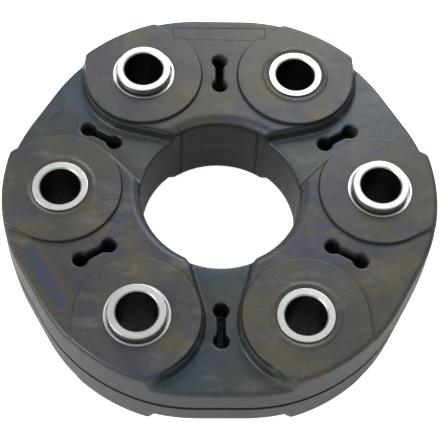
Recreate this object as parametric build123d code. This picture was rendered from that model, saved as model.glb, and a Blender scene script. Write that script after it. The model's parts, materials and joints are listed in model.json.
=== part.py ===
from build123d import *
import math
import os

# Flexible disc coupling of a car's propshaft: a moulded rubber disc with six bolt sleeves.
# Cord packs wound round neighbouring sleeves carry the pull, flanged collars and spacers keep
# the packs in their layers, and the rubber is moulded round all of it.
# Frame: origin at the centre of the disc, halfway through its thickness. +Z is the disc's
# axis, +X points at sleeve 1. The sleeves are numbered counter-clockwise, seen from +Z.
# All sizes are in millimetres and degrees.

# ---- sleeves and bolts
BUSH_COUNT = 6
BOLT_CIRCLE = 96.0
BOLT_BORE = 12.0
SLEEVE_WALL = 2.45
BORE_CHAMFER = 0.5
SLEEVE_EDGE_ROUND = 0.3
FLANGE_PROUD = 2.65         # how far a sleeve stands out of the disc on its own flange's side
REST_PROUD = 0.4            # and on the other side

# ---- layers from the middle of the disc outwards
THRUST_PACK_HEIGHT = 10.8
SPACER_THICKNESS = 1.0
TENSION_PACK_HEIGHT = 6.0
COLLAR_THICKNESS = 1.2
PAD_COVER = 1.75            # rubber over a collar's flange
LINK_COVER = 1.95           # rubber over a tension pack
VALLEY_COVER = 4.95         # rubber over a thrust pack

# ---- collars, spacers and packs, seen from above
COLLAR_RADIUS = 17.0
SPACER_RADIUS = 16.0
HUB_WALL = 0.9              # tube of a collar or spacer that the cord is wound on
LIP_WALL = 0.6
GROOVE_WIDTH = 0.6          # open ring between a sleeve and its collar's lip
GROOVE_DEPTH = 1.2
PACK_WINDING = 5.85         # thickness of the wound cord, measured from the hub
PACK_EDGE = 1.2

# ---- rubber disc, seen from above
HOLE_RADIUS = 24.2
TIP_REACH = 17.9            # from a sleeve's axis out to the rim
FLAT_REACH = 22.5           # from the line between two sleeves' axes out to the rim's flat
PAD_MARGIN = 1.2            # rubber round a collar, at the pad's top edge
PAD_FLANK_ANGLE = 27.5      # between a pad's straight flank and the spoke through its sleeve
VALLEY_FLARE_ANGLE = 16.0   # between a valley's straight side and the valley's own spoke
STEP_DRAFT = 13.0
RIM_DRAFT = 1.5

# ---- rubber disc, edges and small forms
RIM_ROUND = 1.4
STEP_EDGE_ROUND = 0.5
HOLE_ROUND_LINK = 3.0
HOLE_ROUND_VALLEY = 0.8
PARTING_GROOVE_HEIGHT = 0.9
PARTING_GROOVE_DEPTH = 0.45
BEAD_WIDTH = 0.9            # rubber bead over the collar's lip, where the sleeve is nearly flush
BEAD_HEIGHT = 0.25

# ---- dog-bone pockets between the sleeves
POCKET_INNER_RADIUS = 37.9  # from the disc's axis to the centre of the inner round end
POCKET_LENGTH = 9.4         # between the centres of the round ends
POCKET_END_RADIUS = 2.3
POCKET_WAIST = 3.1
POCKET_NECK_ROUND = 2.0
POCKET_RIM_ROUND = 0.6
POCKET_WEB = 2.4            # rubber web left halfway down

# ---- worked out from the sizes above
STEP = 360.0 / BUSH_COUNT
HALF_STEP = STEP / 2
BOLT_RADIUS = BOLT_CIRCLE / 2
CHORD_RADIUS = BOLT_RADIUS * math.cos(math.radians(HALF_STEP))
CHORD = 2 * BOLT_RADIUS * math.sin(math.radians(HALF_STEP))
BORE_RADIUS = BOLT_BORE / 2
SLEEVE_RADIUS = BORE_RADIUS + SLEEVE_WALL
HUB_RADIUS = SLEEVE_RADIUS + HUB_WALL
LIP_INNER_RADIUS = SLEEVE_RADIUS + GROOVE_WIDTH
LIP_OUTER_RADIUS = LIP_INNER_RADIUS + LIP_WALL
PACK_OUTER_RADIUS = HUB_RADIUS + PACK_WINDING

SPACER_LEVEL = THRUST_PACK_HEIGHT / 2
TENSION_LEVEL = SPACER_LEVEL + SPACER_THICKNESS
COLLAR_LEVEL = TENSION_LEVEL + TENSION_PACK_HEIGHT
COLLAR_TOP = COLLAR_LEVEL + COLLAR_THICKNESS
PAD_LEVEL = COLLAR_TOP + PAD_COVER
GROOVE_FLOOR = PAD_LEVEL - GROOVE_DEPTH
LINK_LEVEL = COLLAR_LEVEL + LINK_COVER
VALLEY_LEVEL = SPACER_LEVEL + VALLEY_COVER
FLANGE_END = PAD_LEVEL + FLANGE_PROUD
REST_END = PAD_LEVEL + REST_PROUD

TIP_RADIUS = BOLT_RADIUS + TIP_REACH
FLAT_RADIUS = CHORD_RADIUS + FLAT_REACH
CORE_HEXAGON_RADIUS = (TIP_RADIUS - FLAT_RADIUS) / (1 - math.cos(math.radians(HALF_STEP)))
RIM_ARC_RADIUS = TIP_RADIUS - CORE_HEXAGON_RADIUS
PAD_TOP_RADIUS = COLLAR_RADIUS + PAD_MARGIN

FROM_FLOOR = (Align.CENTER, Align.CENTER, Align.MIN)


def spoke(angle, radius=1.0):
    """The point at a radius along the spoke at an angle."""
    return Vector(radius * math.cos(math.radians(angle)), radius * math.sin(math.radians(angle)))


def bush_angle(number):
    return (number - 1) * STEP


def at_bush(number):
    """Moves a piece from the disc's axis to a sleeve's axis."""
    return Rot(0, 0, bush_angle(number)) * Pos(BOLT_RADIUS, 0, 0)


def stands_up(number):
    """Odd sleeves stand out of the upper side, even ones out of the lower side."""
    return number % 2 == 1


def ring(inner, outer, low, high):
    """A plain ring about the Z axis between two heights."""
    tube = Circle(outer) - Circle(inner)
    return Pos(0, 0, low) * extrude(tube, high - low)


# ---- rubber disc: its outer form
def rim_outline():
    """A hexagon with its corners at the sleeves, grown into a rounded disc."""
    core = RegularPolygon(CORE_HEXAGON_RADIUS, BUSH_COUNT)
    return offset(core, RIM_ARC_RADIUS, kind=Kind.ARC)


def disc_to(level, hole_round):
    """The upper half of the disc, as if it ended flat at one level."""
    slab = extrude(rim_outline(), level, taper=RIM_DRAFT)
    slab = fillet(slab.edges().group_by(Axis.Z)[-1], RIM_ROUND)
    slab -= Cylinder(HOLE_RADIUS, level, align=FROM_FLOOR)
    round_edges = slab.edges().group_by(Axis.Z)[-1].filter_by(GeomType.CIRCLE)
    return fillet(round_edges.sort_by(SortBy.RADIUS)[0], hole_round)


def pad_radius(level):
    """A pad's radius shrinks with height, because its wall is drafted."""
    return PAD_TOP_RADIUS + (PAD_LEVEL - level) * math.tan(math.radians(STEP_DRAFT))


def drafted_block(plan, top):
    """A straight-sided block whose plan changes with height, from below the valleys up."""
    base = SPACER_LEVEL
    return loft([Plane.XY.offset(base) * plan(base), Plane.XY.offset(top) * plan(top)], ruled=True)


def flank_touch(bush, side, level):
    """Where a pad's straight flank leaves its round part, on one side of its spoke."""
    return spoke(bush, BOLT_RADIUS) + spoke(bush + side * (90 - PAD_FLANK_ANGLE), pad_radius(level))


def pad_block(number):
    """The raised pad round a sleeve: a cone, drawn out towards the rim by two flanks."""
    bush = bush_angle(number)
    centre = spoke(bush, BOLT_RADIUS)

    def flanks(level):
        apex = centre + spoke(bush, pad_radius(level) / math.sin(math.radians(PAD_FLANK_ANGLE)))
        corners = [centre, flank_touch(bush, -1, level), apex, flank_touch(bush, 1, level)]
        return make_face(Polyline(*corners, close=True))

    height = PAD_LEVEL - SPACER_LEVEL
    cone = Cone(pad_radius(SPACER_LEVEL), PAD_TOP_RADIUS, height, align=FROM_FLOOR)
    block = drafted_block(flanks, PAD_LEVEL) + Pos(centre.X, centre.Y, SPACER_LEVEL) * cone
    return fillet(block.edges().group_by(Axis.Z)[-1], STEP_EDGE_ROUND)


def link_flank(bush, side, level):
    """One flank of a raised link, as four corners: inside the hole, where it meets the pad,
    where it leaves the pad, and beyond the rim. The valley beside the flank lies
    counter-clockwise of the sleeve where side is 1, and clockwise where it is -1."""
    across = spoke(bush + side * (HALF_STEP + VALLEY_FLARE_ANGLE + 90))
    inner_touch = spoke(bush, BOLT_RADIUS) + across * pad_radius(level)
    outer_touch = flank_touch(bush, side, level)
    beyond_rim = outer_touch + spoke(bush - side * PAD_FLANK_ANGLE, TIP_RADIUS)
    link = spoke(bush - side * HALF_STEP)
    inside_hole = link * (inner_touch.dot(across) / link.dot(across))
    return [inside_hole, inner_touch, outer_touch, beyond_rim]


def link_block(angle):
    """The raised link between two sleeves, without the round parts of its pads."""

    def plan(level):
        right = link_flank(angle - HALF_STEP, -1, level)
        left = link_flank(angle + HALF_STEP, 1, level)
        return make_face(Polyline(*right, *reversed(left[1:]), close=True))

    block = drafted_block(plan, LINK_LEVEL)
    return fillet(block.edges().group_by(Axis.Z)[-1], STEP_EDGE_ROUND)


def pocket_cutter():
    """A dog-bone pocket along +X, open at the top and closed by the web halfway down."""
    inner = Pos(POCKET_INNER_RADIUS, 0) * Circle(POCKET_END_RADIUS)
    outer = Pos(POCKET_INNER_RADIUS + POCKET_LENGTH, 0) * Circle(POCKET_END_RADIUS)
    middle = Pos(POCKET_INNER_RADIUS + POCKET_LENGTH / 2, 0)
    bone = inner + outer + middle * Rectangle(POCKET_LENGTH, POCKET_WAIST)
    necks = [v for v in bone.vertices() if abs(abs(v.Y) - POCKET_WAIST / 2) < 1e-4]
    bone = fillet(necks, POCKET_NECK_ROUND)
    return Pos(0, 0, POCKET_WEB / 2) * extrude(bone, PAD_LEVEL)


def half_disc():
    """The upper half of the rubber's outer form."""
    half = disc_to(VALLEY_LEVEL, HOLE_ROUND_VALLEY)
    link_disc = disc_to(LINK_LEVEL, HOLE_ROUND_LINK)
    pad_disc = disc_to(PAD_LEVEL, HOLE_ROUND_LINK)
    links = [link_disc & link_block(bush_angle(number) + HALF_STEP) for number in (2, 4, 6)]
    pads = [pad_disc & pad_block(number) for number in range(1, BUSH_COUNT + 1)]
    half = half.fuse(*links, *pads)
    for number in range(1, BUSH_COUNT + 1):
        half -= Rot(0, 0, bush_angle(number) + HALF_STEP) * pocket_cutter()
    groove = rim_outline() - offset(rim_outline(), -PARTING_GROOVE_DEPTH)
    return half - extrude(groove, PARTING_GROOVE_HEIGHT / 2)


# ---- inner pieces, each made about the Z axis and then moved to its sleeve
def sleeve():
    """A turned steel sleeve that stands further out at its upper end."""
    middle = Pos(BORE_RADIUS + SLEEVE_WALL / 2, (FLANGE_END - REST_END) / 2)
    wall = middle * Rectangle(SLEEVE_WALL, FLANGE_END + REST_END)
    wall = fillet(wall.vertices().group_by(Axis.X)[-1], SLEEVE_EDGE_ROUND)
    wall = chamfer(wall.vertices().group_by(Axis.X)[0], BORE_CHAMFER)
    return revolve(Plane.XZ * wall, Axis.Z)


def end_collar():
    """A flanged collar: the hub carries a tension pack, the lip shows round the sleeve."""
    hub = ring(SLEEVE_RADIUS, HUB_RADIUS, TENSION_LEVEL, COLLAR_LEVEL)
    flange = ring(SLEEVE_RADIUS, COLLAR_RADIUS, COLLAR_LEVEL, COLLAR_TOP)
    seat = ring(SLEEVE_RADIUS, LIP_OUTER_RADIUS, COLLAR_TOP, GROOVE_FLOOR)
    lip = ring(LIP_INNER_RADIUS, LIP_OUTER_RADIUS, GROOVE_FLOOR, PAD_LEVEL)
    return hub + flange + seat + lip


def spacer():
    """A flanged spacer: the hub carries half of a thrust pack, the flange parts the layers."""
    hub = ring(SLEEVE_RADIUS, HUB_RADIUS, 0, SPACER_LEVEL)
    return hub + ring(SLEEVE_RADIUS, SPACER_RADIUS, SPACER_LEVEL, TENSION_LEVEL)


def cord_pack(angle, low, height):
    """A loop of wound cord round two neighbouring sleeves."""
    outer = SlotCenterToCenter(CHORD, 2 * PACK_OUTER_RADIUS)
    inner = SlotCenterToCenter(CHORD, 2 * HUB_RADIUS)
    loop = extrude(outer - inner, height)
    edges = loop.edges().group_by(Axis.Z)
    loop = chamfer(edges[0] + edges[-1], PACK_EDGE)
    return Rot(0, 0, angle) * Pos(CHORD_RADIUS, 0, low) * Rot(0, 0, 90) * loop


# ---- rubber disc: its cavities, and both halves together
FLIP = Rot(180, 0, 0)


def column_cutter(number):
    """Everything that a sleeve, its collar and its spacer take out of the upper half."""
    column = Cylinder(SLEEVE_RADIUS, FLANGE_END, align=FROM_FLOOR) + spacer() + end_collar()
    if stands_up(number):
        column += ring(SLEEVE_RADIUS, LIP_INNER_RADIUS, GROOVE_FLOOR, FLANGE_END)
    return at_bush(number) * column


def rubber_half():
    """The upper half of the rubber, with a cavity for every piece moulded into it."""
    half = half_disc()
    bead = ring(SLEEVE_RADIUS, LIP_OUTER_RADIUS + BEAD_WIDTH, COLLAR_TOP, PAD_LEVEL + BEAD_HEIGHT)
    for number in range(1, BUSH_COUNT + 1):
        if not stands_up(number):
            half += at_bush(number) * bead
        half -= column_cutter(number)
    for number in (2, 4, 6):
        link = bush_angle(number) + HALF_STEP
        half -= cord_pack(link, TENSION_LEVEL, TENSION_PACK_HEIGHT)
    for number in (1, 3, 5):
        valley = bush_angle(number) + HALF_STEP
        half -= cord_pack(valley, -SPACER_LEVEL, THRUST_PACK_HEIGHT)
    return half


def rubber_disc():
    """Both halves: turned over and on by one sleeve, the upper half is the lower half."""
    half = rubber_half()
    return half + Rot(0, 0, STEP) * FLIP * half


# ---- assembly
def make_parts():
    parts = {"rubber_disc": rubber_disc()}
    for number in range(1, BUSH_COUNT + 1):
        place = at_bush(number)
        upright = sleeve() if stands_up(number) else FLIP * sleeve()
        parts[f"sleeve_{number}"] = place * upright
        parts[f"upper_collar_{number}"] = place * end_collar()
        parts[f"lower_collar_{number}"] = place * FLIP * end_collar()
        parts[f"upper_spacer_{number}"] = place * spacer()
        parts[f"lower_spacer_{number}"] = place * FLIP * spacer()
    for number in (2, 4, 6):
        link = bush_angle(number) + HALF_STEP
        name = f"tension_pack_{number}_{number % BUSH_COUNT + 1}"
        parts[f"upper_{name}"] = cord_pack(link, TENSION_LEVEL, TENSION_PACK_HEIGHT)
        parts[f"lower_{name}"] = cord_pack(link, -COLLAR_LEVEL, TENSION_PACK_HEIGHT)
    for number in (1, 3, 5):
        valley = bush_angle(number) + HALF_STEP
        name = f"thrust_pack_{number}_{number + 1}"
        parts[name] = cord_pack(valley, -SPACER_LEVEL, THRUST_PACK_HEIGHT)
    return parts


def main():
    os.makedirs("parts", exist_ok=True)
    for name, piece in make_parts().items():
        export_step(piece, f"parts/{name}.step")
        print(name, round(piece.volume, 1))


main()
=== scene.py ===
# %% [markdown]
# Flexible disc coupling, dressed
#
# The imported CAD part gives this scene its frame. The steel pieces stay as the CAD made them and only get a
# finish. The moulded rubber is built again here with what moulding leaves on it: rounded steps and feet,
# a ragged parting groove, beads round the sleeves, seams in the centre hole and a bloom on the skin.
# Lengths in this file are in millimetres until a mesh is made, and +Z is the disc's axis.

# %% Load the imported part
import json
import math

import bmesh
import bpy
import numpy as np
from mathutils import Matrix, Vector, noise
from mathutils.geometry import delaunay_2d_cdt


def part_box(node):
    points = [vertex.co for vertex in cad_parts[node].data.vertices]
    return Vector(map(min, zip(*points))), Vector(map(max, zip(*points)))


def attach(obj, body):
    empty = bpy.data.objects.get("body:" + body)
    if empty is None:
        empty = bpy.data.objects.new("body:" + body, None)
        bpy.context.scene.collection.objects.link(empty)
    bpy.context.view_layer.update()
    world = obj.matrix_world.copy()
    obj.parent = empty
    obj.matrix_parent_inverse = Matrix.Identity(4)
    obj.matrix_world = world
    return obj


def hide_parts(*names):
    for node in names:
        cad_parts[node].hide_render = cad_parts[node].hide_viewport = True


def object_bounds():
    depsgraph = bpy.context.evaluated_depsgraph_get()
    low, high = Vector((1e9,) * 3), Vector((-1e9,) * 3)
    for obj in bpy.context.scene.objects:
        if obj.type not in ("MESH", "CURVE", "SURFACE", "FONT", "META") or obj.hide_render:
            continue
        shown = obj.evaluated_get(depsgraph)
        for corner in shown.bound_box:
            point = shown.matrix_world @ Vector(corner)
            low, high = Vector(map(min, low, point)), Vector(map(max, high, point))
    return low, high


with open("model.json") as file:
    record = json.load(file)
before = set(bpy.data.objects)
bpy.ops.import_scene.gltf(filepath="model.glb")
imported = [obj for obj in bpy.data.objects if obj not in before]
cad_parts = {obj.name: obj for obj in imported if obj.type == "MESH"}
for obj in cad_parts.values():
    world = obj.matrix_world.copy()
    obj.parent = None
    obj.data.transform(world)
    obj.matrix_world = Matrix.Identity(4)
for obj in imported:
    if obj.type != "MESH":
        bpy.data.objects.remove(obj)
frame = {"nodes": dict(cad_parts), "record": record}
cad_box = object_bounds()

MM = 0.001
print("nodes:", len(frame["nodes"]), "box:", [round(side / MM, 2) for side in cad_box[1] - cad_box[0]])

# %% [markdown]
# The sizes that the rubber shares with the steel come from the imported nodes. The rest are the mould's own.

# %% Sizes of the coupling
def node_size(node, axis):
    """The lowest and highest value of a CAD node along an axis, in millimetres."""
    low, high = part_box(node)
    return low[axis] / MM, high[axis] / MM


BUSH_COUNT = 6
STEP = 360.0 / BUSH_COUNT
HALF_STEP = STEP / 2
sleeve_low, sleeve_high = node_size("sleeve_1", 0)
BOLT_RADIUS = (sleeve_low + sleeve_high) / 2
SLEEVE_RADIUS = (sleeve_high - sleeve_low) / 2
PAD_LEVEL = node_size("upper_collar_1", 2)[1]
TIP_RADIUS = node_size("rubber_disc", 0)[1]
FLAT_RADIUS = node_size("rubber_disc", 1)[1]
LIP_OUTER = SLEEVE_RADIUS + 1.2
LINK_DROP, VALLEY_DROP = 1.0, 5.0
LINK_LEVEL = PAD_LEVEL - LINK_DROP
VALLEY_LEVEL = PAD_LEVEL - VALLEY_DROP
HOLE_RADIUS = 24.2
PAD_RADIUS = 18.2
PAD_FLANK_ANGLE = 27.5
FLARE_ANGLE = 16.0
STEP_DRAFT_ANGLE = 13.0
RIM_DRAFT_ANGLE = 1.5
WALL_SLOPE = 1 / math.tan(math.radians(STEP_DRAFT_ANGLE))
RIM_DRAFT = math.tan(math.radians(RIM_DRAFT_ANGLE))
RIM_ROUND = 1.4
VALLEYS = (30.0, 150.0, 270.0)
print("bolt radius", BOLT_RADIUS, "sleeve radius", SLEEVE_RADIUS, "pad level", PAD_LEVEL)

# %% [markdown]
# The camera stands in front of the coupling and well above it, and is turned a little. A long lens from
# further off keeps the far side nearly as large as the near one.

# %% Camera
def look_from(azimuth, elevation, roll, distance, target):
    """A camera's matrix, from where it stands round its target."""
    a, e, r = (math.radians(angle) for angle in (azimuth, elevation, roll))
    back = Vector((math.sin(a) * math.cos(e), -math.cos(a) * math.cos(e), math.sin(e)))
    right = Vector((math.cos(a), math.sin(a), 0))
    up = back.cross(right)
    turned_right = right * math.cos(r) + up * math.sin(r)
    turned_up = up * math.cos(r) - right * math.sin(r)
    axes = Matrix((turned_right, turned_up, back)).transposed().to_4x4()
    return Matrix.Translation(target + back * distance) @ axes


camera = bpy.data.objects.new("camera", bpy.data.cameras.new("camera"))
bpy.context.scene.collection.objects.link(camera)
bpy.context.scene.camera = camera
camera.data.sensor_width = 36.0
camera.data.lens = 95.69
camera.data.clip_end = 10.0
CAMERA_AZIMUTH, CAMERA_ELEVATION, CAMERA_ROLL = -3.69, 61.63, 3.68
CAMERA_DISTANCE = 0.3452
CAMERA_TARGET = Vector((-0.00032, -0.01122, 0.01575))
camera.matrix_world = look_from(CAMERA_AZIMUTH, CAMERA_ELEVATION, CAMERA_ROLL, CAMERA_DISTANCE, CAMERA_TARGET)
print("camera at", [round(x / MM) for x in camera.location])

# %% [markdown]
# The mould's surface is a height over the plan. A wall is described by its distance from a sleeve's axis,
# measured square to the wall: the wall runs straight, bends round the sleeve and runs straight again. The
# wall's draft turns that distance into a height, and soft minimum and maximum join the heights, which rounds
# the edges and fills the feet.

# %% Height of the moulded faces
def polar(angle, radius=1.0):
    """Points in plan from angles in degrees and radii."""
    turn = np.radians(angle)
    return np.stack([np.cos(turn) * radius, np.sin(turn) * radius], -1)


def folded(angle, period):
    """An angle brought to within half a period of zero."""
    return (angle + period / 2) % period - period / 2


def wall_distance(points, bush, facing, half_range):
    """How far points lie from a sleeve's axis, square to a wall that bends round the sleeve."""
    away = points - polar(bush, BOLT_RADIUS)
    turn = folded(np.degrees(np.arctan2(away[..., 1], away[..., 0])) - facing, 360)
    normal = polar(facing + np.clip(turn, -half_range, half_range))
    return (away * normal).sum(-1)


def wall_height(distance):
    """The height of a drafted wall that starts from a pad's top edge."""
    return PAD_LEVEL - (distance - PAD_RADIUS) * WALL_SLOPE


def soft_min(a, b, width):
    """The lower of two heights, rounded where they are within a width of each other."""
    share = np.clip(0.5 + 0.5 * (b - a) / width, 0, 1)
    return b * (1 - share) + a * share - width * share * (1 - share)


def soft_max(a, b, width):
    """The higher of two heights, rounded in the same way."""
    return -soft_min(-a, -b, width)


FLANK_NORMAL = 90 - PAD_FLANK_ANGLE
FLARE_NORMAL = HALF_STEP + FLARE_ANGLE + 90
BUSHES = [STEP * k for k in range(BUSH_COUNT)]
LINK_EDGE, VALLEY_FOOT = 1.7, 2.4
PAD_EDGE, PAD_FOOT = 0.35, 0.2
FAR = 1e3


def pad_distance(points, bush):
    """How far points lie from a pad's axis, square to the pad's wall."""
    return wall_distance(points, bush, bush + 180, 180 - FLANK_NORMAL)


def valley_distance(points, bush, side):
    """The same for the wall between a sleeve and the valley on one side of it."""
    middle = (FLANK_NORMAL + FLARE_NORMAL) / 2
    half_range = (FLARE_NORMAL - FLANK_NORMAL) / 2
    return wall_distance(points, bush, bush + side * middle, half_range)


def face_height(points):
    """Height of the moulded face, without the rounding at the rim and the centre hole."""
    plateau = np.full(points.shape[:-1], FAR)
    direction = np.degrees(np.arctan2(points[..., 1], points[..., 0]))
    for valley in VALLEYS:
        left = wall_height(valley_distance(points, valley - HALF_STEP, 1))
        right = wall_height(valley_distance(points, valley + HALF_STEP, -1))
        beside = np.abs(folded(direction - valley, 360)) < STEP
        plateau = np.where(beside, np.maximum(left, right), plateau)
    links = soft_min(plateau, LINK_LEVEL, LINK_EDGE)
    height = soft_max(np.full_like(plateau, VALLEY_LEVEL), links, VALLEY_FOOT)
    for bush in BUSHES:
        pad = soft_min(wall_height(pad_distance(points, bush)), PAD_LEVEL, PAD_EDGE)
        height = soft_max(height, pad, PAD_FOOT)
    return height


test_points = polar(np.array([VALLEYS[0], VALLEYS[0] + STEP, 0.0]), 50.0)
print("heights at a valley, a link and a pad:", face_height(test_points).round(2))

# %% [markdown]
# The outline is a hexagon grown into a rounded disc. Every point of it is found along a ray from the middle.

# %% Outline of the disc
CORE_RADIUS = (TIP_RADIUS - FLAT_RADIUS) / (1 - math.cos(math.radians(HALF_STEP)))
CORE_APOTHEM = CORE_RADIUS * math.cos(math.radians(HALF_STEP))
ARC_RADIUS = TIP_RADIUS - CORE_RADIUS


def outline(angle, inset):
    """Points and outward directions of the outline, moved in by an inset."""
    arc = ARC_RADIUS - inset
    off_flat = folded(angle - HALF_STEP, STEP)
    along_flat = (CORE_APOTHEM + arc) * np.tan(np.radians(off_flat))
    on_flat = np.abs(along_flat) <= CORE_RADIUS / 2
    off_tip = np.radians(folded(angle, STEP))
    to_arc = CORE_RADIUS * np.cos(off_tip) + np.sqrt(arc**2 - (CORE_RADIUS * np.sin(off_tip)) ** 2)
    to_flat = (CORE_APOTHEM + arc) / np.cos(np.radians(off_flat))
    points = polar(angle, np.where(on_flat, to_flat, to_arc))
    corner = polar(angle - np.degrees(off_tip), CORE_RADIUS)
    outward = np.where(on_flat[:, None], polar(angle - off_flat), (points - corner) / arc)
    return points, outward


def inset_of(points):
    """How far points lie inside the outline at the parting plane."""
    angle = np.degrees(np.arctan2(points[..., 1], points[..., 0]))
    radius = np.hypot(points[..., 0], points[..., 1])
    off_flat = np.radians(folded(angle - HALF_STEP, STEP))
    along = np.maximum(np.abs(radius * np.sin(off_flat)) - CORE_RADIUS / 2, 0)
    return ARC_RADIUS - np.hypot(along, radius * np.cos(off_flat) - CORE_APOTHEM)


def spread_angles(loop, spacing, climb, extra=None):
    """Angles that lie closer together where a loop climbs a wall."""
    angle = np.linspace(0, 360, 14401)
    points = loop(angle)
    run = np.linalg.norm(np.diff(points, axis=0), axis=1)
    rise = np.abs(np.diff(face_height(points)))
    density = run / spacing + rise / climb
    if extra is not None:
        density += run * extra(angle[:-1])
    total = np.concatenate([[0], np.cumsum(density)])
    count = int(round(total[-1]))
    return np.interp(np.arange(count) * total[-1] / count, total, angle)


BAND_INSET = 2.0
BAND_RADIUS = HOLE_RADIUS + 3.2
RIM_SPACING, HOLE_SPACING, CLIMB = 1.0, 0.9, 0.18
SEAM_EXTRA, SEAM_REACH = 5.0, 1.8
rim_angles = spread_angles(lambda a: outline(a, BAND_INSET)[0], RIM_SPACING, CLIMB)


def near_seam(angle):
    """Extra points where the mould's seams run down the centre hole."""
    return SEAM_EXTRA * (np.abs(folded(angle, STEP)) < SEAM_REACH)


def hole_line(angle):
    return polar(angle, BAND_RADIUS)


hole_angles = spread_angles(hole_line, HOLE_SPACING, CLIMB, near_seam)
print("points round the rim:", len(rim_angles), "and round the hole:", len(hole_angles))

# %% [markdown]
# A surface is gathered as pieces of grid: rows of points with quads between them. Welding joins the pieces.

# %% Gathering a mesh
class Gathered:
    """Points and faces of one mesh, still in millimetres."""

    def __init__(self):
        self.points, self.faces, self.count = [], [], 0

    def add(self, points, faces):
        points = np.asarray(points, float)
        self.points.append(points)
        self.faces.extend(tuple(i + self.count for i in face) for face in faces)
        self.count += len(points)

    def add_rows(self, rows, closed=True):
        """Rows of as many points each, with quads between neighbouring rows."""
        rows = np.asarray(rows, float)
        row_count, length = rows.shape[:2]
        last = length if closed else length - 1
        quads = []
        for r in range(row_count - 1):
            here, there = r * length, (r + 1) * length
            for i in range(last):
                j = (i + 1) % length
                quads.append((here + i, here + j, there + j, there + i))
        self.add(rows.reshape(-1, 3), quads)

    def to_object(self, name, mirrored=False):
        points = np.concatenate(self.points)
        faces = self.faces
        if mirrored:
            points = points * (1, 1, -1)
            faces = [tuple(reversed(face)) for face in faces]
        mesh = bpy.data.meshes.new(name)
        mesh.from_pydata((points * MM).tolist(), [], faces)
        built = bpy.data.objects.new(name, mesh)
        bpy.context.scene.collection.objects.link(built)
        weld(mesh)
        mesh.shade_smooth()
        return built


def weld(mesh):
    """Joins points that lie on each other and faces all sides outwards."""
    work = bmesh.new()
    work.from_mesh(mesh)
    bmesh.ops.remove_doubles(work, verts=work.verts, dist=1e-6)
    bmesh.ops.dissolve_degenerate(work, edges=work.edges, dist=1e-7)
    bmesh.ops.recalc_face_normals(work, faces=work.faces)
    upper = [math.copysign(1, face.calc_center_median().z) for face in work.faces]
    lean = sum(face.normal.z * face.calc_area() * sign for face, sign in zip(work.faces, upper))
    if lean < 0:
        bmesh.ops.reverse_faces(work, faces=work.faces)
    work.to_mesh(mesh)
    work.free()


def lifted(points, height):
    """Plan points with a height each."""
    return np.concatenate([points, np.broadcast_to(height, points.shape[:-1])[..., None]], -1)


# %% [markdown]
# The pockets are dog bones: two round ends joined by a narrow waist with hollow necks. Every offset of that
# outline is made of the same arcs with other radii.

# %% Pocket outlines
POCKET_MIDDLE = 42.6
POCKET_HALF = 4.7
END_RADIUS = 2.3
WAIST_HALF = 1.15
NECK_RADIUS = 2.0
POCKET_ROUND = 0.6
NECK_Y = WAIST_HALF + NECK_RADIUS
NECK_X = POCKET_HALF - math.sqrt((END_RADIUS + NECK_RADIUS) ** 2 - NECK_Y**2)
END_SWEEP = math.degrees(math.atan2(NECK_Y, NECK_X - POCKET_HALF))


def dog_bone(offset):
    """A quarter's arcs and their mirror images, as one closed loop with its long side along X."""
    end = polar(np.linspace(0, END_SWEEP, 15), END_RADIUS + offset) + (POCKET_HALF, 0)
    neck_from, neck_to = END_SWEEP + 180, 270.0
    neck = polar(np.linspace(neck_from, neck_to, 7)[1:], NECK_RADIUS - offset) + (NECK_X, NECK_Y)
    waist = np.stack([np.linspace(NECK_X, 0, 5)[1:], np.full(4, WAIST_HALF + offset)], -1)
    quarter = np.concatenate([end, neck, waist])
    half = np.concatenate([quarter, quarter[-2::-1] * (-1, 1)])
    return np.concatenate([half, half[-2:0:-1] * (1, -1)])


def placed(points, angle):
    """A pocket's points moved out along its spoke and turned into place."""
    x, y = points[..., 0] + POCKET_MIDDLE, points[..., 1]
    c, s = math.cos(math.radians(angle)), math.sin(math.radians(angle))
    return np.stack([x * c - y * s, x * s + y * c], -1)


POCKET_ANGLES = [bush + HALF_STEP for bush in BUSHES]
print("points round a pocket:", len(dog_bone(0)), "neck at", round(NECK_X, 2), round(NECK_Y, 2))

# %% [markdown]
# The face between those loops is a Delaunay triangulation. Lines along the walls keep its edges on them, so
# the steps stay crisp, and loose points fill the flat parts.

# %% Lines along the walls
SEAT_RADIUS = 11.2
WALL_STEPS = (-1.4, -0.7, -0.35, -0.15, 0.0, 0.12, 0.25)
LINK_STEPS = WALL_STEPS + (0.36, 0.6, 1.0)
VALLEY_STEPS = WALL_STEPS + (0.42, 0.6, 0.8, 0.95, 1.08, 1.22, 1.4, 1.7, 2.2)
CLEAR_OF_LOOP = 0.25


def wall_line(bush, start, stop, reach, distance):
    """A wall's line at a distance: straight, round the sleeve between two directions, and straight again."""
    turn = np.radians(stop - start)
    count = max(3, int(abs(turn) * distance / 0.55))
    arc = polar(np.linspace(start, stop, count), distance)
    steps = np.arange(0.6, 40, 0.6)[:, None]
    first = arc[0] - math.copysign(1, turn) * polar(start + 90) * steps
    last = arc[-1] + math.copysign(1, turn) * polar(stop + 90) * steps
    runs = ([first[::-1]] if reach[0] else []) + [arc] + ([last] if reach[1] else [])
    return np.concatenate(runs) + polar(bush, BOLT_RADIUS)


def inside_face(points, margin=0.0):
    """Whether points lie on the face, clear of the bands at the rim and the hole."""
    radius = np.hypot(points[..., 0], points[..., 1])
    return (inset_of(points) > BAND_INSET + margin) & (radius > BAND_RADIUS + margin)


def split_runs(points, keep):
    """The stretches of a line whose points are kept."""
    breaks = np.flatnonzero(np.diff(keep.astype(int))) + 1
    stretches = zip(np.split(points, breaks), np.split(keep, breaks))
    return [run for run, kept in stretches if kept[0] and len(run) > 1]


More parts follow.
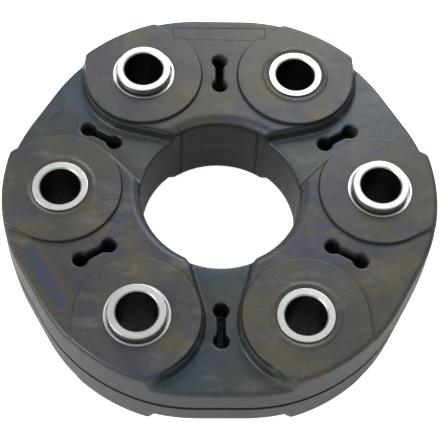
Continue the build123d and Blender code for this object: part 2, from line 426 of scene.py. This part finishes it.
lines = []
for bush in BUSHES:
    off_valley = [abs(folded(bush + HALF_STEP - valley, 360)) for valley in VALLEYS]
    valley_side = 1 if min(off_valley) < 1 else -1
    flank, flare = bush + valley_side * FLANK_NORMAL, bush + valley_side * FLARE_NORMAL
    far_flank = bush + valley_side * (360 - FLANK_NORMAL)
    for step in VALLEY_STEPS:
        lines.append(wall_line(bush, flank, flare, (True, True), PAD_RADIUS + step))
    for step in LINK_STEPS:
        lines.append(wall_line(bush, flare, far_flank, (False, True), PAD_RADIUS + step))
lines = [run for line in lines for run in split_runs(line, inside_face(line, CLEAR_OF_LOOP))]
print("wall lines:", len(lines), "with", sum(len(line) for line in lines), "points")

# %% [markdown]
# A constrained triangulation keeps the loops and the wall lines as edges. The loose points lie in a shifted
# grid, so that the triangles between them come out nearly even, and those too close to a line are left out.

# %% Triangulate the face
def edges_of(loop_count, start, closed):
    """Edges from each point of a run to the next, and back to the first if it is closed."""
    last = loop_count if closed else loop_count - 1
    return [(start + i, start + (i + 1) % loop_count) for i in range(last)]


loops = [outline(rim_angles, BAND_INSET)[0], polar(hole_angles, BAND_RADIUS)]
seat_angles = np.arange(96) * 3.75
loops += [polar(seat_angles, SEAT_RADIUS) + polar(bush, BOLT_RADIUS) for bush in BUSHES]
pocket_loop = dog_bone(POCKET_ROUND + 0.2)
loops += [placed(pocket_loop, angle) for angle in POCKET_ANGLES]


def near_pocket(points, margin):
    """Whether points lie in a pocket, or nearer to it than a margin."""
    radius = np.hypot(points[..., 0], points[..., 1])
    turn = folded(np.degrees(np.arctan2(points[..., 1], points[..., 0])) - HALF_STEP, STEP)
    x = np.abs(radius * np.cos(np.radians(turn)) - POCKET_MIDDLE)
    y = np.abs(radius * np.sin(np.radians(turn)))
    end = np.hypot(x - POCKET_HALF, y) - END_RADIUS
    waist = np.maximum(y - WAIST_HALF, x - POCKET_HALF)
    return np.minimum(end, waist) < margin


def near_seat(points, margin):
    """Whether points lie in a seat, or nearer to it than a margin."""
    away = [np.linalg.norm(points - polar(bush, BOLT_RADIUS), axis=-1) for bush in BUSHES]
    return np.min(away, axis=0) < SEAT_RADIUS + margin


pitch = 1.25
ROW_SHARE = 0.87
FILL_REACH = 70
LEAST_GAP_SQUARED = 0.3
across = np.arange(-FILL_REACH, FILL_REACH, pitch)
fill_x, fill_y = np.meshgrid(across, np.arange(-FILL_REACH, FILL_REACH, pitch * ROW_SHARE))
fill_x += (np.arange(len(fill_x)) % 2)[:, None] * pitch / 2
fill = np.stack([fill_x.ravel(), fill_y.ravel()], -1)
CLEAR_OF_EDGE, CLEAR_OF_POCKET = 0.6, POCKET_ROUND + 0.8
clear_of_holes = ~near_pocket(fill, CLEAR_OF_POCKET) & ~near_seat(fill, CLEAR_OF_EDGE)
fill = fill[inside_face(fill, CLEAR_OF_EDGE) & clear_of_holes]
crowded = np.zeros(len(fill), bool)
line_points = np.concatenate(lines)
cell = {}
for x, y in line_points:
    cell.setdefault((int(x // 1), int(y // 1)), []).append((x, y))
beside_cell = [(a, b) for a in (-1, 0, 1) for b in (-1, 0, 1)]
for i, (x, y) in enumerate(fill):
    near = [p for a, b in beside_cell for p in cell.get((int(x // 1) + a, int(y // 1) + b), ())]
    crowded[i] = any((x - p[0]) ** 2 + (y - p[1]) ** 2 < LEAST_GAP_SQUARED for p in near)
fill = fill[~crowded]

plan, edges = [], []
for loop in loops:
    edges += edges_of(len(loop), len(plan), True)
    plan += loop.tolist()
for line in lines:
    edges += edges_of(len(line), len(plan), False)
    plan += line.tolist()
plan += fill.tolist()
found, _, triangles, *_ = delaunay_2d_cdt([Vector(p) for p in plan], edges, [], 0, 1e-5)
found = np.array([tuple(p) for p in found])
triangles = np.array([tuple(t) for t in triangles])
middles = found[triangles].mean(1)


def in_loop(points, loop):
    """Whether points lie inside a closed loop, by counting its crossings."""
    a, b = loop, np.roll(loop, -1, axis=0)
    x, y = points[:, None, 0], points[:, None, 1]
    spans = (a[:, 1] > y) != (b[:, 1] > y)
    with np.errstate(divide="ignore", invalid="ignore"):
        crossing = a[:, 0] + (y - a[:, 1]) * (b[:, 0] - a[:, 0]) / (b[:, 1] - a[:, 1])
    return (spans & (x < crossing)).sum(1) % 2 == 1


kept = in_loop(middles, loops[0])
for loop in loops[1:]:
    kept &= ~in_loop(middles, loop)
triangles = triangles[kept]
print("face:", len(found), "points and", len(triangles), "triangles")


# %% [markdown]
# Towards the rim and the hole the face runs on as bands. A band's columns lean along the walls that cross
# it, so a step reaches the rim without a saw-tooth edge, and its rows round the edge off.

# %% Bands at the rim and the hole
def rounding(rows):
    """How far in and how far down the rows of a quarter round lie, as shares of its radius."""
    turn = np.linspace(0, math.pi / 2, rows)
    return 1 - np.sin(turn), 1 - np.cos(turn)


def leaning(points, plain, bush_side_direction, hold, fade):
    """Directions that follow a wall where a column stands on one, and a plain direction elsewhere."""
    direction = plain.copy()
    for bush in BUSHES:
        for side in (1, -1):
            distance, along = bush_side_direction(points, bush, side)
            share = 1 - np.clip((np.abs(distance - PAD_RADIUS - 0.6) - hold) / fade, 0, 1)
            share = (share * (3 - 2 * share))[:, None]
            direction = direction * (1 - share) + along * share
    return direction / np.linalg.norm(direction, axis=1)[:, None]


def flank_of(points, bush, side):
    """Distance from a pad's axis square to its straight flank, and the flank's own direction."""
    normal = polar(bush + side * FLANK_NORMAL)
    direction = np.degrees(np.arctan2(points[:, 1], points[:, 0]))
    near = (points @ polar(bush) > 0) & (side * folded(direction - bush, 360) > 0)
    distance = (points - polar(bush, BOLT_RADIUS)) @ normal
    return np.where(near, distance, FAR), polar(bush - side * PAD_FLANK_ANGLE)


def flare_of(points, bush, side):
    """The same for the straight side of the valley next to a sleeve."""
    valley = bush + side * HALF_STEP
    if min(abs(folded(valley - v, 360)) for v in VALLEYS) > 1:
        return np.full(len(points), FAR), polar(bush)
    normal = polar(bush + side * FLARE_NORMAL)
    near = np.abs(folded(np.degrees(np.arctan2(points[:, 1], points[:, 0])) - valley, 360)) < HALF_STEP
    distance = (points - polar(bush, BOLT_RADIUS)) @ normal
    return np.where(near, distance, FAR), -polar(valley + side * FLARE_ANGLE)


rim_start, rim_outward = outline(rim_angles, BAND_INSET)
rim_lean = leaning(rim_start, rim_outward, flank_of, 1.0, 4.5)
rim_run = (rim_lean * rim_outward).sum(1)
hole_start = polar(hole_angles, BAND_RADIUS)
hole_lean = leaning(hole_start, -polar(hole_angles), flare_of, 1.2, 2.2)


def rim_points(inset):
    """The band's columns at an inset from the outline."""
    return rim_start + rim_lean * ((BAND_INSET - inset) / rim_run)[:, None]


def hole_points(radius):
    """The band's columns at a radius, which may differ from column to column."""
    along = (hole_start * hole_lean).sum(1)
    reach = -along - np.sqrt(along**2 - BAND_RADIUS**2 + radius**2)
    return hole_start + hole_lean * reach[:, None]


def rough(points, size, seed):
    """Smooth noise at points in millimetres."""
    return np.array([noise.noise(Vector(p) / size + Vector((seed, 0, 0))) for p in points])


ROUND_ROWS = 9
SIDE_ROWS = 12
GROOVE_HALF = 0.75
GROOVE_DEPTH = 1.3
GROOVE_RAGGED = 0.5
RAGGED_SIZE = 2.2
LIP_START = 0.25
LIP_ROUND = ((0.02, 0.08), (0.14, -0.04))
GROOVE_NARROWING, GROOVE_BULGE = 0.55, 0.05


def rim_band():
    """From the face over the rounded rim and down the side into the parting groove."""
    level = face_height(rim_points(RIM_ROUND))
    draft = level * RIM_DRAFT
    rows = [lifted(rim_start, face_height(rim_start))]
    for inward, down in zip(*rounding(ROUND_ROWS)):
        points = rim_points(draft + inward * RIM_ROUND)
        rows.append(lifted(points, face_height(points) - down * RIM_ROUND))
    top = rows[-1][:, 2]
    ragged = rough(lifted(rim_start, 0.0), RAGGED_SIZE, 3.0)
    lip = GROOVE_HALF * (1 + GROOVE_RAGGED * ragged)
    for share in np.linspace(0, 1, SIDE_ROWS)[1:]:
        height = top + (lip + LIP_START - top) * share
        rows.append(lifted(rim_points(height * RIM_DRAFT), height))
    for inset, above_lip in LIP_ROUND:
        rows.append(lifted(rim_points(inset), lip + above_lip))
    rows.append(lifted(rim_points(GROOVE_DEPTH), lip * GROOVE_NARROWING))
    rows.append(lifted(rim_points(GROOVE_DEPTH + GROOVE_BULGE), 0.0))
    return rows


LINK_ROUND = 3.0
VALLEY_ROUND = 0.8
SEAM_DEPTH = 0.35
SEAM_WIDTH = 0.3
SEAM_ONSET = 6


def hole_band():
    """From the face over the hole's edge and down its wall to the middle."""
    rows = [lifted(hole_start, face_height(hole_start))]
    share = np.clip((rows[0][:, 2] - VALLEY_LEVEL) / (LINK_LEVEL - VALLEY_LEVEL), 0, 1)
    radius = VALLEY_ROUND + (LINK_ROUND - VALLEY_ROUND) * share
    seam = np.exp(-((folded(hole_angles, STEP) * math.radians(HOLE_RADIUS) / SEAM_WIDTH) ** 2))
    for inward, down in zip(*rounding(ROUND_ROWS)):
        points = hole_points(HOLE_RADIUS + inward * radius)
        rows.append(lifted(points, face_height(points) - down * radius))
    top = rows[-1][:, 2]
    for share in np.linspace(0, 1, SIDE_ROWS)[1:]:
        deep = SEAM_DEPTH * seam * min(1, share * SEAM_ONSET)
        rows.append(lifted(hole_points(HOLE_RADIUS + deep), top * (1 - share)))
    return rows


WEB_LEVEL = 1.2
WEB_FOOT = 0.5
WALL_SHARES = (0.25, 0.5, 0.75, 0.95)
WEB_ROUND = ((-0.15, 0.2), (-0.45, 0.05), (-0.9, 0.0))
WEB_INNER = -1.3
CREASE_HEIGHT = 0.35


def pocket_rows(angle):
    """From the face over a pocket's softened edge and down to its web."""
    rows = [lifted(placed(pocket_loop, angle), face_height(placed(pocket_loop, angle)))]
    for inward, down in zip(*rounding(6)):
        points = placed(dog_bone(inward * POCKET_ROUND), angle)
        rows.append(lifted(points, face_height(points) - down * POCKET_ROUND))
    top = rows[-1][:, 2]
    wall = placed(dog_bone(0), angle)
    for share in WALL_SHARES:
        rows.append(lifted(wall, top + (WEB_LEVEL + WEB_FOOT - top) * share))
    for offset, height in WEB_ROUND:
        rows.append(lifted(placed(dog_bone(offset), angle), WEB_LEVEL + height))
    inner = dog_bone(WEB_INNER)
    spine = np.stack([inner[:, 0], inner[:, 1] * 0], -1)
    rows.append(lifted(placed(inner, angle), WEB_LEVEL))
    rows.append(lifted(placed(spine, angle), WEB_LEVEL + CREASE_HEIGHT))
    return rows


def half_skin(name, mirrored):
    """The upper half's skin, or its mirror image for the lower half."""
    skin = Gathered()
    skin.add(lifted(found, face_height(found)), [tuple(t) for t in triangles])
    skin.add_rows(rim_band())
    skin.add_rows(hole_band()[::-1])
    for angle in POCKET_ANGLES:
        skin.add_rows(pocket_rows(angle)[::-1])
    piece = skin.to_object(name, mirrored)
    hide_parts("rubber_disc")
    return piece


rubber_pieces = [half_skin("rubber_upper_half", False), half_skin("rubber_lower_half", True)]
for piece in rubber_pieces:
    print(piece.name, len(piece.data.polygons), "faces")


# %% [markdown]
# Round each sleeve the rubber ends in a seat. Where the sleeve stands out, it stops at the collar's lip.
# Where the sleeve is nearly flush, a low bead runs over the lip up to the steel.

# %% Seats round the sleeves
SEAT_ROWS = 22
BEAD_HEIGHT = 0.25
BEAD_RADIUS, BEAD_WIDTH = 9.75, 0.6
BEAD_RAGGED, BEAD_GRAIN = 0.5, 1.6
LIP_CLEARANCE, LIP_WALL_RUN, LIP_WALL_DROP = 0.12, 0.2, 3.0
SLEEVE_TOUCH = 0.02
EDGE_START, EDGE_RUN, EDGE_DROP = 9.0, 0.5, 0.1


def seat_rows(bush, open_lip, seed):
    """Rings of points from the pad in to the sleeve, at the upper side."""
    rows = []
    for share in np.linspace(0, 1, SEAT_ROWS):
        radius = SEAT_RADIUS + (SLEEVE_RADIUS + SLEEVE_TOUCH - SEAT_RADIUS) * share
        points = polar(seat_angles, radius) + polar(bush, BOLT_RADIUS)
        ragged = rough(lifted(points, seed), BEAD_GRAIN, seed)
        bead = BEAD_HEIGHT * math.exp(-(((radius - BEAD_RADIUS) / BEAD_WIDTH) ** 2))
        bead = bead * (1 + BEAD_RAGGED * ragged)
        if open_lip:
            past_lip = np.clip((LIP_OUTER + LIP_CLEARANCE - radius) / LIP_WALL_RUN, 0, 1)
            height = np.full(len(points), PAD_LEVEL) - LIP_WALL_DROP * past_lip**2
        else:
            height = PAD_LEVEL + bead - EDGE_DROP * np.clip((EDGE_START - radius) / EDGE_RUN, 0, 1)
        rows.append(lifted(points, height))
    return rows


def build_seat(number, upper):
    bush = BUSHES[number - 1]
    open_lip = (number % 2 == 1) == upper
    seat = Gathered()
    seat.add_rows(seat_rows(bush, open_lip, number + 10.0 * upper))
    name = f"rubber_seat_{'upper' if upper else 'lower'}_{number}"
    return seat.to_object(name, mirrored=not upper)


seats = [build_seat(number, upper) for number in range(1, BUSH_COUNT + 1) for upper in (True, False)]
print("seats:", len(seats))
for piece in rubber_pieces + seats:
    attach(piece, "root")


# %% [markdown]
# The finishes are node trees written as arithmetic. A Value wraps a node's output, so that sums and products
# of Values make Math nodes, and Tree.node makes any other node from its type, its settings and its inputs.

# %% Writing node trees
class Value:
    """A number that differs over the surface."""

    def __init__(self, tree, socket):
        self.tree, self.socket = tree, socket

    def math(self, operation, *others):
        inputs = {i: other for i, other in enumerate((self, *others))}
        return self.tree.node("ShaderNodeMath", {"operation": operation}, inputs)

    def __add__(self, other):
        return self.math("ADD", other)

    def __sub__(self, other):
        return self.math("SUBTRACT", other)

    def __mul__(self, other):
        return self.math("MULTIPLY", other)

    def __truediv__(self, other):
        return self.math("DIVIDE", other)

    def __pow__(self, other):
        return self.math("POWER", other)

    def __neg__(self):
        return self * -1

    def __rsub__(self, other):
        return self * -1 + other

    def __rtruediv__(self, other):
        return self**-1 * other

    __radd__, __rmul__ = __add__, __mul__

    def sine(self):
        return self.math("SINE")

    def size(self):
        return self.math("ABSOLUTE")

    def between(self, low, high):
        """0 below low, 1 above high and smooth between them; the other way round if low is the higher."""
        first, last = (low, high) if low < high else (high, low)
        inputs = {"Value": self, "From Min": first, "From Max": last}
        inputs["To Min"], inputs["To Max"] = float(low > high), float(low < high)
        return self.tree.node("ShaderNodeMapRange", {"interpolation_type": "SMOOTHSTEP"}, inputs)

    def line(self, middle, width):
        """1 on a line and 0 beyond its width."""
        return (self - middle).size().between(width, 0.0)


class Tree:
    """A material's node tree, with a Principled BSDF as its surface."""

    def __init__(self, name):
        self.material = bpy.data.materials.new(name)
        self.material.use_nodes = True
        self.nodes, self.links = self.material.node_tree.nodes, self.material.node_tree.links
        self.surface = self.nodes["Principled BSDF"]

    def node(self, kind, settings, inputs, output=0):
        made = self.nodes.new(kind)
        for key, value in settings.items():
            setattr(made, key, value)
        for key, value in inputs.items():
            self.plug(made.inputs[key], value)
        return Value(self, made.outputs[output])

    def plug(self, socket, value):
        if isinstance(value, Value):
            self.links.new(value.socket, socket)
        elif isinstance(value, tuple) and len(value) == 3 and socket.type == "RGBA":
            socket.default_value = (*value, 1.0)
        else:
            socket.default_value = value

    def place(self):
        """X, Y and Z in millimetres in the part's own frame."""
        whole = self.node("ShaderNodeTexCoord", {}, {}, "Object")
        split = self.node("ShaderNodeSeparateXYZ", {}, {0: whole})
        return [Value(self, split.socket.node.outputs[i]) / MM for i in range(3)]

    def vector(self, x, y, z):
        return self.node("ShaderNodeCombineXYZ", {}, {0: x, 1: y, 2: z})

    def noise(self, place, scale, detail=3.0, roughness=0.55):
        """Noise from about 0 to 1. The scale is in features per millimetre."""
        inputs = {"Vector": place, "Scale": scale, "Detail": detail, "Roughness": roughness}
        return self.node("ShaderNodeTexNoise", {}, inputs)

    def mix(self, share, first, second):
        """A colour between two, a share of the way to the second."""
        return self.node("ShaderNodeMix", {"data_type": "RGBA"}, {0: share, 6: first, 7: second}, 2)

    def round_sleeve(self, x, y):
        """Distance from the nearest sleeve's axis and the direction round it, by folding the plan."""
        turn = y.math("ARCTAN2", x)
        sector = math.radians(STEP)
        folded_turn = (turn + sector / 2 + 6 * math.pi).math("MODULO", sector) - sector / 2
        radius = (x * x + y * y) ** 0.5
        along = radius * folded_turn.math("COSINE") - BOLT_RADIUS
        beside = radius * folded_turn.sine()
        return (along * along + beside * beside) ** 0.5, beside.math("ARCTAN2", along), radius

    def set(self, **inputs):
        for name, value in inputs.items():
            self.plug(self.surface.inputs[name.replace("_", " ")], value)

    def bump(self, height, distance, normal=None):
        inputs = {"Height": height, "Distance": distance * MM, "Strength": 1.0}
        if normal is not None:
            inputs["Normal"] = normal
        return self.node("ShaderNodeBump", {}, inputs)


# %% [markdown]
# The rubber is a dark grey with a bloom on it: brownish on the pads, violet in clouds on the links, and
# blue-green in the valleys and on the side. Steep faces are also darker as painted shade, painted shade
# darkens the feet of the valley steps and the centre hole, and a painted highlight runs along the step walls.
# Handling has left pale smears and fine scratches.

# %% Colours of the bloom, with painted shade and highlights
GREY, WARM_GREY = (0.028, 0.034, 0.034), (0.042, 0.039, 0.028)
BLUE, VIOLET, BROWN = (0.025, 0.034, 0.066), (0.032, 0.025, 0.041), (0.07, 0.056, 0.028)
# Some of these colours are painted light: the side green is partly painted shade, the hole grey, the foot
# black and the line black are painted shade, and the shine is a painted highlight.
PAD_GREY, VALLEY_BLUE, SIDE_GREEN_AND_SHADE = (0.05, 0.048, 0.038), (0.02, 0.042, 0.058), (0.01, 0.017, 0.015)
PAINTED_HOLE_SHADE, SMEAR_GREY, DUST = (0.013, 0.015, 0.013), (0.095, 0.092, 0.088), (0.07, 0.066, 0.06)
PAINTED_SHINE, PAINTED_FOOT_SHADE, PAINTED_LINE_SHADE = (0.1, 0.115, 0.12), (0.004, 0.005, 0.006), (0.003, 0.003, 0.003)


def bloom_and_painted_light(tree, places, masks):
    """The skin's clouds of colour, laid over each other, with painted shade on steep faces, at the valley
    feet and in the hole, a painted highlight along the step walls, and the pale smears and dust on top.
    """
    x, y, z = places
    pad, valley, side, wall, painted_step_light = masks
    place = tree.vector(x, y, z)
    clouds = tree.noise(place, 0.055, 4.0, 0.6)
    drift = tree.noise(tree.vector(x + 40, y - 15, z), 0.04, 3.0)
    tint = tree.noise(tree.vector(x - 60, y + 35, z), 0.075, 3.0)
    fine = tree.noise(place, 0.6, 5.0, 0.65)
    colour = tree.mix(clouds.between(0.36, 0.6), GREY, WARM_GREY)
    colour = tree.mix(drift.between(0.5, 0.64) * 0.85, colour, BLUE)
    colour = tree.mix(pad * 0.5, colour, PAD_GREY)
    colour = tree.mix(tint.between(0.54, 0.66) * 0.6, colour, VIOLET)
    colour = tree.mix(tint.between(0.53, 0.3) * 0.75, colour, BROWN)
    colour = tree.mix(valley * (0.15 + drift * 0.6), colour, VALLEY_BLUE)
    # Steep faces take a blue-green tint and are also made darker as painted shade.
    colour = tree.mix(side * 0.85, colour, SIDE_GREEN_AND_SHADE)
    # Painted light along the valley step walls: a pale line halfway up is a painted highlight, and a dark
    # line at the valley foot is painted shade.
    painted_sheen, painted_crease_shade = painted_step_light
    colour = tree.mix(painted_sheen * 0.4, colour, PAINTED_SHINE)
    colour = tree.mix(painted_crease_shade * 0.5, colour, PAINTED_FOOT_SHADE)
    # Painted shade: the centre hole's wall is made much darker.
    colour = tree.mix(wall * 0.8, colour, PAINTED_HOLE_SHADE)
    swirl = tree.noise(tree.vector(x * 0.3, y, z + clouds * 14), 0.16, 6.0, 0.7)
    smear = swirl.between(0.53, 0.68) * drift.between(0.4, 0.55)
    colour = tree.mix(smear * 0.6, colour, SMEAR_GREY)
    colour = tree.mix(fine.between(0.5, 0.75) * 0.25, colour, DUST)
    return colour, fine, smear


print("bloom colours from", GREY, "to", BROWN)

# %% [markdown]
# The mould leaves a recessed plate on one link and a ring in one valley. Another link carries a bluish patch
# with a brownish halo. They lie on the upper side alone and are left bare. Each is a mask made from distances
# in plan, so it stays in place whatever the mesh is like.

# %% Bare marks
PLATE_Y, PLATE_HALF_LONG, PLATE_HALF_WIDE = 58.0, 15.0, 2.5
PATCH_X, PATCH_Y, PATCH_HALF_LONG = 51.0, 29.5, 9.0
PATCH_COS, PATCH_SIN = 0.534, 0.845
RING_X, RING_Y, RING_RADIUS = 48.9, 25.5, 4.6
PATCH_BLUE, HALO_BROWN, RING_DARK = (0.022, 0.033, 0.062), (0.06, 0.046, 0.028), (0.02, 0.02, 0.02)


def bare_marks(x, y, z):
    """Masks of the plate, the patch, its halo and the ring."""
    front = z.between(0.0, 1.0)
    across_plate = (y - PLATE_Y).size().between(PLATE_HALF_WIDE, PLATE_HALF_WIDE - 0.3)
    plate = (x.size().between(PLATE_HALF_LONG, PLATE_HALF_LONG - 0.3) * across_plate) * front
    along = (x + PATCH_X) * PATCH_COS - (y + PATCH_Y) * PATCH_SIN
    beside = (x + PATCH_X) * PATCH_SIN + (y + PATCH_Y) * PATCH_COS
    past_end = (along.size() - PATCH_HALF_LONG).math("MAXIMUM", 0.0)
    patch = ((past_end**2 + beside**2) ** 0.5).between(2.7, 1.7) * front
    halo = along.size().between(14.0, 9.0) * beside.size().between(6.0, 2.0) * front
    from_ring = ((x + RING_X) ** 2 + (y - RING_Y) ** 2) ** 0.5
    ring = from_ring.between(RING_RADIUS, RING_RADIUS - 0.3) * front
    return plate, patch, halo, ring


print("plate", 2 * PLATE_HALF_LONG, "by", 2 * PLATE_HALF_WIDE, "mm, ring", 2 * RING_RADIUS, "mm across")

# %% [markdown]
# Masks say where the finish changes: on pads, in valleys, on the side, in the hole, along the feet of the
# steps and in the parting groove. The darkening on the side, in the hole, along the feet of the steps, in the
# parting groove and along the hole's seams is painted shade, and a pale line along the step walls is a
# painted highlight.
# They follow the heights and radii that the shapes were built from.

# %% Rubber
SPECULAR = 0.4
PAD_FOOT_RADIUS, PAD_FOOT_WIDTH = 18.42, 0.36
LINES_END, LINES_FADE = 61.5, 60.0


def rubber_finish():
    tree = Tree("moulded_rubber")
    x, y, z = tree.place()
    distance, turn, radius = tree.round_sleeve(x, y)
    height = z.size()
    normal = tree.node("ShaderNodeNewGeometry", {}, {}, "Normal")
    facing = tree.node("ShaderNodeSeparateXYZ", {}, {0: normal}, "Z").size()
    side = facing.between(0.75, 0.25)
    pad = distance.between(18.6, 18.1) * height.between(14.6, 15.0)
    valley = height.between(12.6, 10.8) * (1 - side)
    wall = side * radius.between(27.0, 25.0)
    off_rim = radius.between(LINES_END, LINES_FADE)
    # Where the painted highlight halfway up the step walls and the painted shade at the valley foot go.
    painted_step_light = (height.line(13.2, 0.9) * off_rim, height.line(10.9, 0.5) * off_rim)
    colour, fine, smear = bloom_and_painted_light(tree, (x, y, z), (pad, valley, side, wall, painted_step_light))

    # Painted shade: black lines at the feet of the pads, in the parting groove and along the seams in the
    # hole.
    pad_foot_shade = distance.line(PAD_FOOT_RADIUS, PAD_FOOT_WIDTH) * height.between(13.9, 14.3)
    pad_foot_shade = pad_foot_shade * height.between(15.35, 15.25) * radius.between(60.0, 57.0)
    groove = (height + fine * 0.5 - 0.25).between(1.15, 0.8) * radius.between(45.0, 50.0)
    seam = (turn.size() - math.pi).size().between(0.012, 0.005) * wall
    painted_shade_lines = pad_foot_shade.math("MAXIMUM", groove).math("MAXIMUM", seam)
    colour = tree.mix(painted_shade_lines * 0.9, colour, PAINTED_LINE_SHADE)

    plate, patch, halo, ring = bare_marks(x, y, z)
    colour = tree.mix(halo * 0.7, colour, HALO_BROWN)
    colour = tree.mix(patch * 0.8, colour, PATCH_BLUE)
    colour = tree.mix(ring * 0.35, colour, RING_DARK)

    place = tree.vector(x, y, z)
    scratch = tree.noise(tree.vector(x * 0.06 + y * 0.05, y * 1.4 - x * 1.1, z), 0.9, 4.0, 0.7)
    grain = tree.noise(place, 2.6, 3.0, 0.6)
    waves = tree.noise(place, 0.11, 2.0, 0.5)
    rough = 0.31 + fine * 0.16 + smear * 0.12 - valley * 0.05 + painted_shade_lines * 0.5
    soft = tree.bump(waves, 0.2)
    pressed = tree.bump(-(plate + ring), 0.25, soft)
    marked = tree.bump(grain * 0.6 + scratch * 0.5, 0.05, pressed)
    tree.set(Base_Color=colour, Roughness=rough, Normal=marked, Specular_IOR_Level=SPECULAR)
    return tree.material


# %% [markdown]
# The sleeves are turned steel: fine rings on the faces, bright edges, and bores coloured nearly black with
# paler streaks.

# %% Steel
def steel_finish(name, bright, rough_base):
    tree = Tree(name)
    x, y, z = tree.place()
    place = tree.vector(x, y, z)
    distance, turn, _ = tree.round_sleeve(x, y)
    rings = tree.noise(tree.vector(distance * 7, turn * 0.5, z * 7), 1.0, 3.0, 0.7)
    cloud = tree.noise(place, 0.35, 3.0)
    streak = tree.noise(tree.vector(turn * 9, z * 0.06, 0.0), 1.0, 3.0, 0.7)
    colour = tree.mix(cloud.between(0.35, 0.7) * 0.4, bright, tuple(c * 0.82 for c in bright))
    colour = tree.mix(rings.between(0.5, 0.72) * 0.5, colour, tuple(c * 0.5 for c in bright))
    # The sleeves' outer sides are coloured dark.
    outside = distance.between(8.2, 8.4) * distance.between(8.75, 8.6) * z.size().between(17.75, 17.5)
    colour = tree.mix(outside * 0.75, colour, (0.06, 0.065, 0.06))
    # The bores are coloured nearly black with paler streaks.
    bore = distance.between(6.25, 6.05)
    streaked_bore = tree.mix(streak.between(0.56, 0.8), (0.03, 0.032, 0.026), (0.2, 0.2, 0.17))
    colour = tree.mix(bore, colour, streaked_bore)
    rough = rough_base + rings * 0.14 + bore * 0.1
    tree.set(Base_Color=colour, Metallic=1.0, Roughness=rough, Normal=tree.bump(rings, 0.02))
    return tree.material


# %% [markdown]
# The cord packs lie inside the rubber. They get the light brown of wound cord, with fine turns, for anyone
# who cuts the coupling open or looks at the packs alone.

# %% Cord
def cord_finish():
    tree = Tree("wound_cord")
    x, y, z = tree.place()
    turns = tree.noise(tree.vector(x * 0.2, y * 0.2, z * 6), 1.0, 3.0)
    colour = tree.mix(turns.between(0.3, 0.7), (0.16, 0.12, 0.08), (0.34, 0.28, 0.2))
    tree.set(Base_Color=colour, Roughness=0.8, Normal=tree.bump(turns, 0.1))
    return tree.material


finishes = {
    "rubber": rubber_finish(),
    "sleeve_steel": steel_finish("turned_steel", (0.56, 0.58, 0.56), 0.3),
    "collar_steel": steel_finish("pressed_steel", (0.66, 0.66, 0.64), 0.3),
    "cord": cord_finish(),
}
for row in frame["record"]["subparts"]:
    node = frame["nodes"][row["node"]]
    node.data.materials.clear()
    node.data.materials.append(finishes[row["material_slot"]])
for piece in rubber_pieces + seats:
    piece.data.materials.append(finishes["rubber"])
print("finishes:", ", ".join(finishes))

# %% [markdown]
# A pale floor, a pale sky and two large soft lamps. The floor turns white for the camera, and partly for
# reflections, and still takes the coupling's shadow.

# %% Floor, sky and lamps
REACH = 3.0
FLOOR_WHITE = 0.9
SHINE_SHARE = 0.2
floor_level = cad_box[0].z
corners = [(x * REACH, y * REACH, floor_level) for x, y in ((-1, -1), (1, -1), (1, 1), (-1, 1))]
floor_mesh = bpy.data.meshes.new("floor")
floor_mesh.from_pydata(corners, [], [(0, 1, 2, 3)])
floor = bpy.data.objects.new("floor", floor_mesh)
bpy.context.scene.collection.objects.link(floor)

floor_tree = Tree("pale_floor")
RAY_KINDS = ("Is Camera Ray", "Is Glossy Ray", "Is Transmission Ray")
rays = [floor_tree.node("ShaderNodeLightPath", {}, {}, kind) for kind in RAY_KINDS]
camera_ray, glossy_ray, passing_ray = rays
seen = camera_ray + (glossy_ray + passing_ray) * SHINE_SHARE
glow = floor_tree.mix(seen, (0.0, 0.0, 0.0), (1.0, 1.0, 1.0))
floor_tree.set(Base_Color=(0.88, 0.88, 0.88), Roughness=0.85)
floor_tree.set(Emission_Color=glow, Emission_Strength=FLOOR_WHITE)
floor_mesh.materials.append(floor_tree.material)

world = bpy.data.worlds.new("sky")
bpy.context.scene.world = world
world.use_nodes = True
sky = world.node_tree.nodes["Background"]
sky.inputs["Color"].default_value = (0.92, 0.94, 0.95, 1)
sky.inputs["Strength"].default_value = 0.66
print("floor at", round(floor_level / MM, 2), "mm")


def soft_lamp(name, place, size, energy):
    data = bpy.data.lights.new(name, "AREA")
    data.energy, data.size = energy, size
    lamp = bpy.data.objects.new(name, data)
    bpy.context.scene.collection.objects.link(lamp)
    lamp.location = place
    lamp.rotation_euler = (-Vector(place)).to_track_quat("-Z", "Y").to_euler()


soft_lamp("back_lamp", (0.15, 0.6, 0.5), 0.4, 3.6)
soft_lamp("left_lamp", (-0.65, -0.25, 0.5), 0.4, 4.5)
bpy.context.scene.view_settings.view_transform = "Standard"
